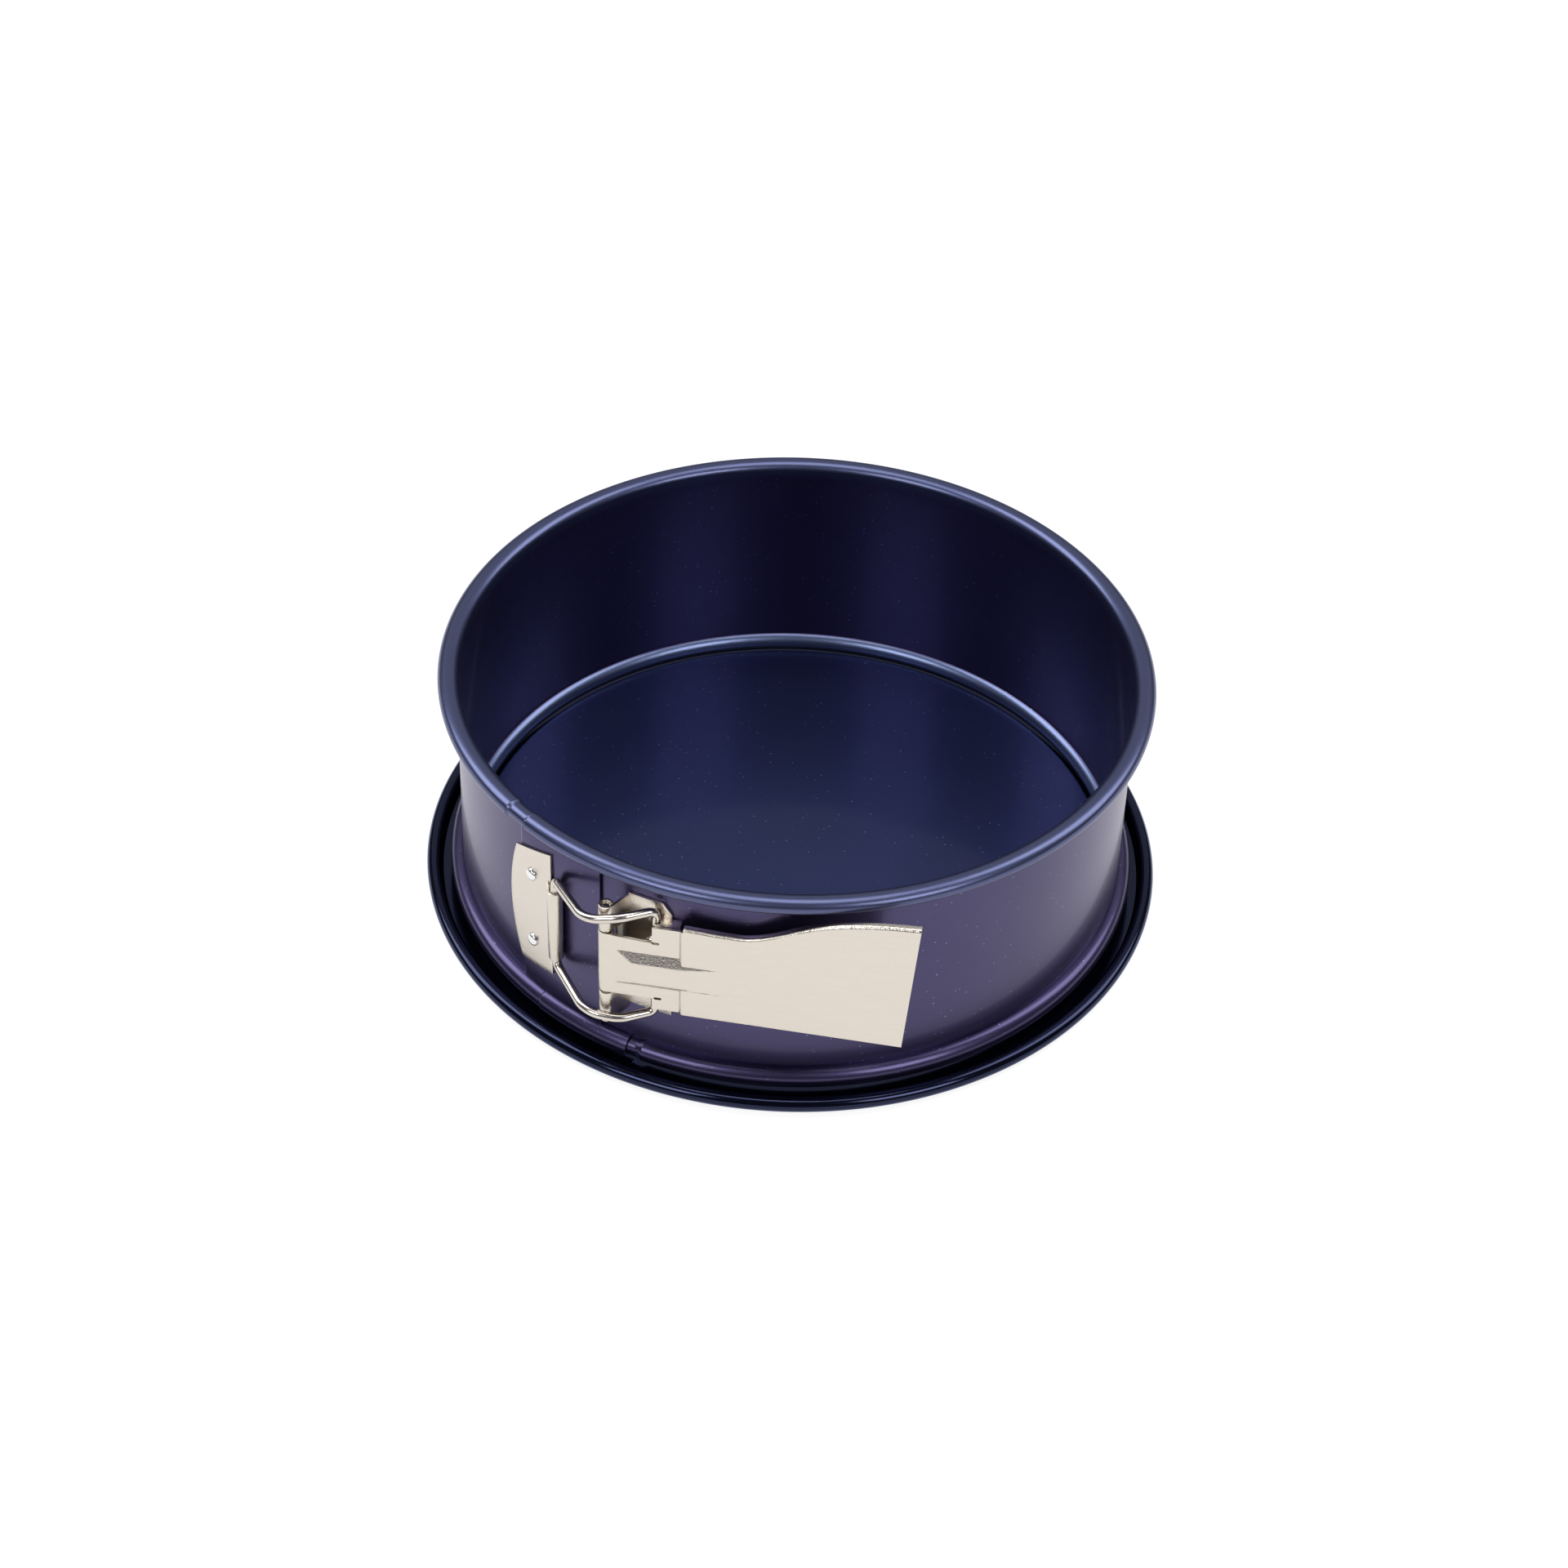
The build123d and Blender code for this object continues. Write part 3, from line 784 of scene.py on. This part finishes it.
lever = {
    "angle": 9.0,
    "sheet": 0.8,
    "faceOut": 2.05,  # outer face from the pin's axis
    "wrapRadius": 1.65,  # middle of the sheet
    "bottom": 26.6,
    "wrapBottom": 30.2,
    "wrapTop": 49.4,
    "wrapRise": 0.9,
    "wrapTurn": 300.0,
    "earStart": 12.2,
    "earEnd": 19.2,
    "earTop": 54.6,
    "earDepth": 3.85,
    "step": 0.8,
    "stepLength": 1.1,
    # top edge of the handle: along, height, slope
    "topEdge": ((20.6, 55.2, -0.05), (34.0, 54.7, 0.0), (48.5, 59.5, 0.5), (79.8, 66.2, 0.06)),
    "slant": 3.1,
    "slantFrom": 30.0,
    "flange": 1.5,
    "flangeBend": 0.5,
    "ribHeight": 1.4,
    "ribUpper": (45.3, 0.48),  # height of its crease, slope of its facet
    "ribLower": (34.2, 0.75),
    "ribStart": (2.6, 4.4),
    "ribFade": (20.0, 28.4, 0.42),
    "slots": ((13.1, 49.35), (13.7, 30.35)),
    "slotSize": (2.0, 0.8),
    "slotBevel": 0.38,
    "edgeBevel": 0.1,
    "flangeBevel": 0.15,
    "holeAt": (12.6, -0.9),
    "holeTravel": ((0, 0), (-2.5, -0.95), (-4.3, -0.1), (-2.6, 0.9)),
    "holeRadius": 1.5,
    # grid lines along and up: a start, then (end, how many steps to it)
    "columns": (
        0, (2.6, 5), (7.0, 9), (12.2, 10), (19.2, 14), (20.3, 8), (28.4, 18), (34, 8), (79.8, 70),
    ),
    "rows": (
        26.6, (30.2, 6), (34.2, 7), (35.8, 6), (42.3, 10), (43.3, 4), (45.3, 8), (49.4, 8), (54.6, 12),
    ),
}


def placeOnLever(piece):
    # from lengths along the lever and towards the band to the pan's own frame
    turned = Matrix.Rotation(math.radians(-lever["angle"]), 4, "Z")
    piece.data.transform(Matrix.Translation((pinPlace.x, pinPlace.y, 0)) @ turned)
    return piece


def onLever(along, out, height):
    turn = math.radians(lever["angle"])
    return Vector((
        pinPlace.x + along * math.cos(turn) - out * math.sin(turn),
        pinPlace.y - along * math.sin(turn) - out * math.cos(turn),
        height,
    ))


def topOfLever(along):
    stops = lever["topEdge"]
    if along <= stops[0][0]:
        share = ease((along - lever["earEnd"]) / (stops[0][0] - lever["earEnd"]))
        return lever["earTop"] + (stops[0][1] - lever["earTop"]) * share
    for (x0, y0, slope0), (x1, y1, slope1) in zip(stops, stops[1:]):
        if along <= x1 + 0.001:
            run = x1 - x0
            s = (along - x0) / run
            value = y0 * (1 + 2 * s) * (1 - s) ** 2 + y1 * s * s * (3 - 2 * s)
            return value + run * (slope0 * s * (1 - s) ** 2 - slope1 * s * s * (1 - s))
    return stops[-1][1]


def leverOut(along, height):
    # how far out the middle of the sheet lies: plate, handle a step further out, and the rib
    base = lever["faceOut"]
    face = base + lever["step"] * ease((along - lever["earEnd"]) / lever["stepLength"])
    upper, upperSlope = lever["ribUpper"]
    lower, lowerSlope = lever["ribLower"]
    start, ramp = lever["ribStart"]
    fadeStart, fadeEnd, fadeDrop = lever["ribFade"]
    crown = lever["ribHeight"] * min(max((along - start) / ramp, 0), 1)
    crown -= fadeDrop * min(max((along - fadeStart) / (fadeEnd - fadeStart), 0), 4)
    rib = base + min(crown, (upper - height) * upperSlope, (height - lower) * lowerSlope)
    return max(face, rib) - lever["sheet"] / 2


def makeLever():
    wrapTop = lever["wrapTop"]
    endAlong, endTop, _ = lever["topEdge"][-1]

    def shape(along, row):
        height = row
        if row > wrapTop:
            share = (row - wrapTop) / (lever["earTop"] - wrapTop)
            height = wrapTop + (topOfLever(along) - wrapTop) * share
        if along < lever["earStart"] and row > lever["ribUpper"][0]:
            share = (row - lever["ribUpper"][0]) / (wrapTop - lever["ribUpper"][0])
            height = row + lever["wrapRise"] * share * (1 - along / lever["earStart"]) ** 1.5
        slantShare = max(along - lever["slantFrom"], 0) / (endAlong - lever["slantFrom"])
        shift = lever["slant"] * slantShare * (endTop - height) / (endTop - lever["bottom"])
        return (along - shift, -leverOut(along, height), height)

    sheet = gridOver("leverSheet", spans(*lever["columns"]), spans(*lever["rows"]), shape)
    narrow = lever["earStart"] - 0.05

    def beside(place):
        edge = wrapTop + lever["wrapRise"] * (1 - max(place.x, 0) / lever["earStart"]) ** 1.5
        return place.x < narrow and (place.z < lever["wrapBottom"] or place.z > edge)

    editOnly(sheet, beside, "FACE")
    bpy.ops.mesh.delete(type="FACE")
    leaveEdit()
    # the plate's left edge goes on round the pin
    editOnly(sheet, lambda place: place.x < 0.001)
    turn = math.radians(lever["wrapTurn"])
    bpy.ops.mesh.spin(steps=26, angle=turn, center=(0, 0, 0), axis=(0, 0, 1))
    leaveEdit()
    # the handle's top edge rolls back towards the band
    handleStart = lever["topEdge"][0][0]
    editOnly(sheet, lambda place: place.x > handleStart - 0.4 and place.z > topOfLever(place.x) - 0.001)
    bend = lever["flangeBend"]
    steps = 4
    for step in range(steps):
        before, after = (math.radians(90 * part / steps) for part in (step, step + 1))
        rise = bend * (math.sin(after) - math.sin(before))
        back = bend * (math.cos(before) - math.cos(after))
        bpy.ops.mesh.extrude_region_move(TRANSFORM_OT_translate={"value": (0, back, rise)})
    bpy.ops.mesh.extrude_region_move(TRANSFORM_OT_translate={"value": (0, lever["flange"] - bend, 0)})
    leaveEdit()
    thicken(sheet, lever["sheet"], lever["edgeBevel"])
    # small relief slots beside the ears
    width, tall = lever["slotSize"]
    for along, height in lever["slots"]:
        clearSelection()
        bpy.ops.mesh.primitive_cube_add(size=1, location=(along, -2, height))
        cutter = bpy.context.object
        cutter.scale = (width, 6, tall)
        bpy.ops.object.transform_apply(location=True, rotation=True, scale=True)
        modify(cutter, "BEVEL", width=lever["slotBevel"], segments=4, limit_method="NONE")
        modify(sheet, "BOOLEAN", operation="DIFFERENCE", object=cutter, solver="EXACT")
        bpy.data.objects.remove(cutter)
    parts = [sheet]
    for height in (lever["earTop"] - lever["sheet"] / 2, lever["bottom"] + lever["sheet"] / 2):
        parts.append(makeEarFlange(height))
    piece = placeOnLever(joined("leverHandle", parts))
    return finishPiece(piece, sheetFinish, "lever", ["lever"], smooth=24)


def makeEarFlange(height):
    # ear's end bent back towards the band, with an open hole for the wire
    start, end = lever["earStart"], lever["earEnd"]
    front, back = -lever["wrapRadius"], lever["earDepth"] - lever["wrapRadius"]
    clearSelection()
    bpy.ops.mesh.primitive_cube_add(size=1, location=((start + end) / 2, (front + back) / 2, height))
    flange = bpy.context.object
    flange.scale = (end - start, back - front, lever["sheet"])
    bpy.ops.object.transform_apply(location=True, rotation=True, scale=True)
    bevelEdges(flange, lever["flangeBevel"], 2)
    cutters = []
    for along, out in lever["holeTravel"]:
        place = (lever["holeAt"][0] + along, -lever["holeAt"][1] - out, height)
        radius = lever["holeRadius"]
        bpy.ops.mesh.primitive_cylinder_add(vertices=32, radius=radius, depth=3, location=place)
        cutters.append(bpy.context.object)
    hole = joined("hole", cutters)
    makeActive(hole)
    bpy.ops.object.transform_apply(location=True, rotation=True, scale=True)
    editAll(hole)
    bpy.ops.mesh.convex_hull()
    leaveEdit()
    modify(flange, "BOOLEAN", operation="DIFFERENCE", object=hole, solver="EXACT")
    bpy.data.objects.remove(hole)
    return flange


bail = {
    "wire": 1.2,
    "leg": (24.4, 53.6),
    "arms": (23.1, 57.9),
    "shoulders": (-4.8, 4.2),  # along the lever from the pin
    "shoulderOut": 3.8,
    "end": (12.6, -0.9),
    "endReach": 0.8,
    "bends": (2.0, 8.0, 8.0, 2.2, 2.2, 8.0, 8.0, 2.0),
}


def makeBail():
    farShoulder, nearShoulder = bail["shoulders"]
    out = bail["shoulderOut"]
    upper = lever["earTop"] - lever["sheet"] - bail["endReach"]
    lower = lever["bottom"] + lever["sheet"] + bail["endReach"]
    legBottom, legTop = bail["leg"]
    armBottom, armTop = bail["arms"]
    corners = [
        onLever(*bail["end"], upper),
        onLever(*bail["end"], armTop),
        onLever(nearShoulder, out, armTop),
        onLever(farShoulder, out, (legTop + armTop) / 2),
        Vector((legPlace.x, legPlace.y, legTop)),
        Vector((legPlace.x, legPlace.y, legBottom)),
        onLever(farShoulder, out, (legBottom + armBottom) / 2),
        onLever(nearShoulder, out, armBottom),
        onLever(*bail["end"], armBottom),
        onLever(*bail["end"], lower),
    ]
    piece = chain("bailWire", corners)
    for number, radius in enumerate(bail["bends"], start=1):
        before, corner, after = corners[number - 1:number + 2]
        turn = (corner - before).angle(after - corner)
        editOnly(piece, lambda place: (place - corner).length < 0.01)
        bpy.ops.mesh.bevel(offset=radius * math.tan(turn / 2), offset_type="OFFSET", segments=12,
                           affect="VERTICES")
        leaveEdit()
    makeActive(piece)
    bpy.ops.object.convert(target="CURVE")
    wire = bpy.context.object
    wire.data.bevel_depth = bail["wire"]
    wire.data.bevel_resolution = 8
    wire.data.use_fill_caps = True
    bpy.ops.object.convert(target="MESH")
    piece = bpy.context.object
    piece.name = "bailWire"
    pointOut(piece)
    return finishPiece(piece, wireFinish, "bail", ["bail"], smooth=50)


makeKeeper()
makeBracket()
for node in ("keeper_rivet_upper", "keeper_rivet_lower"):
    makeRivet(node, "ring_left", keeper["radius"] + keeper["sheet"] / 2)
for node in ("bracket_rivet_upper", "bracket_rivet_lower"):
    makeRivet(node, "ring_right", bracket["radius"] + bracket["sheet"] / 2)
makePin()
makeLever()
makeBail()
print("latch made")


# Studio: bright floor and soft boxes all round
studio = {
    "floorSize": 6.0,
    "floorGlow": 0.86,
    "floorShade": 0.25,
    "worldShade": (0.07, 0.07, 0.09),
    # name, place, size across and up, strength
    "boxes": (
        ("leftBox", (-1.3, 0.5, 1.5), (0.9, 1.6), 22.0),
        ("rightBox", (1.3, 0.5, 1.5), (0.9, 1.6), 18.0),
        ("backBox", (0.0, 1.8, 1.55), (3.2, 1.6), 7.5),
        ("topBox", (0.0, 0.1, 2.3), (1.2, 1.2), 15.0),
        ("frontLeftBox", (-0.97, -1.25, 1.23), (0.8, 0.8), 11.0),
        ("frontRightBox", (0.97, -1.25, 1.23), (0.8, 0.8), 11.0),
    ),
}


def makeStudio():
    clearSelection()
    bpy.ops.mesh.primitive_plane_add(size=studio["floorSize"])
    floor = bpy.context.object
    floor.name = "floor"
    material, tree = newMaterial("paleFloor")
    shine(tree, {
        "Base Color": (studio["floorShade"], studio["floorShade"], studio["floorShade"], 1),
        "Roughness": 0.9,
        "Specular IOR Level": 0.0,
        "Emission Color": (1, 1, 1, 1),
        "Emission Strength": studio["floorGlow"],
    })
    floor.data.materials.append(material)
    for name, place, size, strength in studio["boxes"]:
        bpy.ops.object.light_add(type="AREA", location=place)
        box = bpy.context.object
        box.name = name
        box.data.shape = "RECTANGLE"
        box.data.size, box.data.size_y = size
        box.data.energy = strength
        box.rotation_euler = (Vector((0, 0, 0.03)) - Vector(place)).to_track_quat("-Z", "Y").to_euler()
    world = bpy.data.worlds.new("studio")
    bpy.context.scene.world = world
    world.use_nodes = True
    world.node_tree.nodes["Background"].inputs["Color"].default_value = (*studio["worldShade"], 1)


def makeCamera():
    place = Vector(camera["place"]) * mm
    target = Vector(camera["target"]) * mm
    bpy.ops.object.camera_add(location=place)
    view = bpy.context.object
    view.data.lens = camera["lens"]
    view.data.sensor_width = camera["sensor"]
    aim = (target - place).to_track_quat("-Z", "Y").to_matrix().to_4x4()
    roll = Matrix.Rotation(math.radians(camera["roll"]), 4, "Z")
    view.matrix_world = Matrix.Translation(place) @ aim @ roll
    bpy.context.scene.camera = view


makeStudio()
makeCamera()
bpy.context.scene.view_settings.view_transform = "Standard"
print("studio and camera made")
